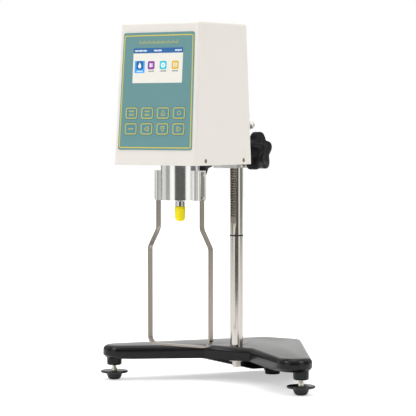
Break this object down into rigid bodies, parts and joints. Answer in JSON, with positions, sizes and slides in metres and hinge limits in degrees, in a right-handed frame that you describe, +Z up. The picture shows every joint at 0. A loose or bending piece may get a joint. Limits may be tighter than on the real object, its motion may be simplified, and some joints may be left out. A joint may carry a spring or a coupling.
{
  "type": "rotational viscometer",
  "caption": "Rotational viscometer: instrument head with display and keys on a rack-and-pinion stand, spindle coupling and strip guard",
  "frame": {"origin": "on the table, under the centre of the instrument's outline", "axes": "+Z up, the control panel faces -Y, +X is the viewer's right when facing the panel"},
  "size_m": [0.304, 0.2874, 0.4366],
  "materials": {
    "casting_black": "gloss black enamel over a casting",
    "column_steel": "turned and ground",
    "zinc_steel": "zinc plated",
    "rubber_black": "matt",
    "rubber_foot": "matt",
    "plastic_black": "fine grain",
    "foot_plastic": "satin black",
    "block_paint": "cast block, light grey satin coat",
    "plate_aluminium": "fine brushed",
    "screw_steel": "satin",
    "brass": "turned",
    "shaft_steel": "ground",
    "knob_plastic": "gloss black",
    "chassis_aluminium": "bead blasted",
    "cover_paint": "cream satin paint",
    "cover_screw_brass": "aged yellow passivated steel",
    "chrome_ring": "polished",
    "vial_glass": "tinted fluid",
    "housing_polished": "polished turned",
    "bar_aluminium": "polished",
    "guard_steel": "satin strip",
    "nut_chrome": "polished",
    "disc_black": "anodised",
    "spring_steel": "tempered",
    "cap_yellow": "soft",
    "bearing_steel": "ground",
    "motor_black": "satin",
    "sensor_plastic": "moulded",
    "panel_print": "printed film, teal with a yellow border",
    "key_print": "printed film",
    "display_glass": "clear window over a colour display",
    "board_green": "solder mask",
    "dome_steel": "stamped",
    "inlet_plastic": "moulded",
    "rocker_plastic": "moulded",
    "port_metal": "plated shell"
  },
  "bodies": {
    "stand": {"base_casting": "casting_black", "column": "column_steel", "column_bolt": "zinc_steel", "stop_ring": "rubber_black", "column_cap": "plastic_black", "rear_foot": "rubber_foot"},
    "foot_left": {"foot_disc_left": "foot_plastic", "foot_stud_left": "zinc_steel"},
    "foot_right": {"foot_disc_right": "foot_plastic", "foot_stud_right": "zinc_steel"},
    "head": {"carriage_block": "block_paint", "side_plate": "plate_aluminium", "socket_screws": "screw_steel", "pinion_bushes": "brass", "brake_pads": "brass", "friction_screw": "zinc_steel", "head_chassis": "chassis_aluminium", "head_cover": "cover_paint", "cover_screws": "cover_screw_brass", "level_ring": "chrome_ring", "level_vial": "vial_glass", "spindle_housing": "housing_polished", "guard_bars": "bar_aluminium", "guard_frame": "guard_steel", "guard_screws": "screw_steel", "bearings": "bearing_steel", "bearing_bridge": "chassis_aluminium", "motor_plate": "chassis_aluminium", "drive_posts": "brass", "motor": "motor_black", "optical_sensors": "sensor_plastic", "panel_overlay": "panel_print", "display_window": "display_glass", "display_module": "board_green", "keypad_board": "board_green", "key_domes": "dome_steel", "main_board": "board_green", "board_posts": "brass", "power_inlet": "inlet_plastic", "data_port": "port_metal"},
    "lift_knob": {"pinion_shaft": "shaft_steel", "lift_knob": "knob_plastic"},
    "lock_knob": {"lock_stud": "shaft_steel", "lock_knob": "knob_plastic"},
    "drive": {"drive_shaft": "shaft_steel", "encoder_disc": "disc_black", "hairspring": "spring_steel"},
    "spindle": {"spindle_shaft": "shaft_steel", "spindle_nut": "nut_chrome", "sensing_disc": "disc_black"},
    "cap": {"spindle_cap": "cap_yellow"},
    "rocker": {"power_rocker": "rocker_plastic"},
    "key_1": {"key_1": "key_print"},
    "key_2": {"key_2": "key_print"},
    "key_3": {"key_3": "key_print"},
    "key_4": {"key_4": "key_print"},
    "key_5": {"key_5": "key_print"},
    "key_6": {"key_6": "key_print"},
    "key_7": {"key_7": "key_print"},
    "key_8": {"key_8": "key_print"}
  },
  "joints": [
    {"name": "foot_left_turn", "type": "hinge", "parent": "stand", "child": "foot_left", "pos_m": [-0.135, -0.0373, 0.012], "axis": [0, 0, 1], "continuous": true},
    {"name": "foot_right_turn", "type": "hinge", "parent": "stand", "child": "foot_right", "pos_m": [0.135, -0.0373, 0.012], "axis": [0, 0, 1], "continuous": true},
    {"name": "head_lift", "type": "slide", "parent": "stand", "child": "head", "axis": [0, 0, 1], "range_m": [-0.05, 0.085]},
    {"name": "lift_knob_turn", "type": "hinge", "parent": "head", "child": "lift_knob", "pos_m": [0, 0.0206, 0.283], "axis": [1, 0, 0], "range_deg": [-700, 415]},
    {"name": "lock_knob_turn", "type": "hinge", "parent": "head", "child": "lock_knob", "pos_m": [-0.03, 0.0331, 0.2751], "axis": [1, 0, 0], "range_deg": [-90, 360]},
    {"name": "drive_turn", "type": "hinge", "parent": "head", "child": "drive", "pos_m": [0, -0.09, 0.311], "axis": [0, 0, 1], "continuous": true},
    {"name": "spindle_turn", "type": "hinge", "parent": "head", "child": "spindle", "pos_m": [0, -0.09, 0.25], "axis": [0, 0, 1], "continuous": true},
    {"name": "cap_pull", "type": "slide", "parent": "spindle", "child": "cap", "axis": [0, 0, -1], "range_m": [0, 0.045]},
    {"name": "rocker_tilt", "type": "hinge", "parent": "head", "child": "rocker", "pos_m": [-0.0085, -0.03048, 0.38095], "axis": [1, 0, 0], "range_deg": [-16, 0]},
    {"name": "key_1_press", "type": "slide", "parent": "head", "child": "key_1", "axis": [0, 0.9973, -0.0732], "range_m": [0, 0.00035], "stiffness_N_per_m": 1500},
    {"name": "key_2_press", "type": "slide", "parent": "head", "child": "key_2", "axis": [0, 0.9973, -0.0732], "range_m": [0, 0.00035], "stiffness_N_per_m": 1500},
    {"name": "key_3_press", "type": "slide", "parent": "head", "child": "key_3", "axis": [0, 0.9973, -0.0732], "range_m": [0, 0.00035], "stiffness_N_per_m": 1500},
    {"name": "key_4_press", "type": "slide", "parent": "head", "child": "key_4", "axis": [0, 0.9973, -0.0732], "range_m": [0, 0.00035], "stiffness_N_per_m": 1500},
    {"name": "key_5_press", "type": "slide", "parent": "head", "child": "key_5", "axis": [0, 0.9973, -0.0732], "range_m": [0, 0.00035], "stiffness_N_per_m": 1500},
    {"name": "key_6_press", "type": "slide", "parent": "head", "child": "key_6", "axis": [0, 0.9973, -0.0732], "range_m": [0, 0.00035], "stiffness_N_per_m": 1500},
    {"name": "key_7_press", "type": "slide", "parent": "head", "child": "key_7", "axis": [0, 0.9973, -0.0732], "range_m": [0, 0.00035], "stiffness_N_per_m": 1500},
    {"name": "key_8_press", "type": "slide", "parent": "head", "child": "key_8", "axis": [0, 0.9973, -0.0732], "range_m": [0, 0.00035], "stiffness_N_per_m": 1500}
  ],
  "couplings": [
    {"joint": "lift_knob_turn", "follows": "head_lift", "rad_per_m": -142.86},
    {"joint": "spindle_turn", "follows": "drive_turn", "ratio": 1}
  ]
}
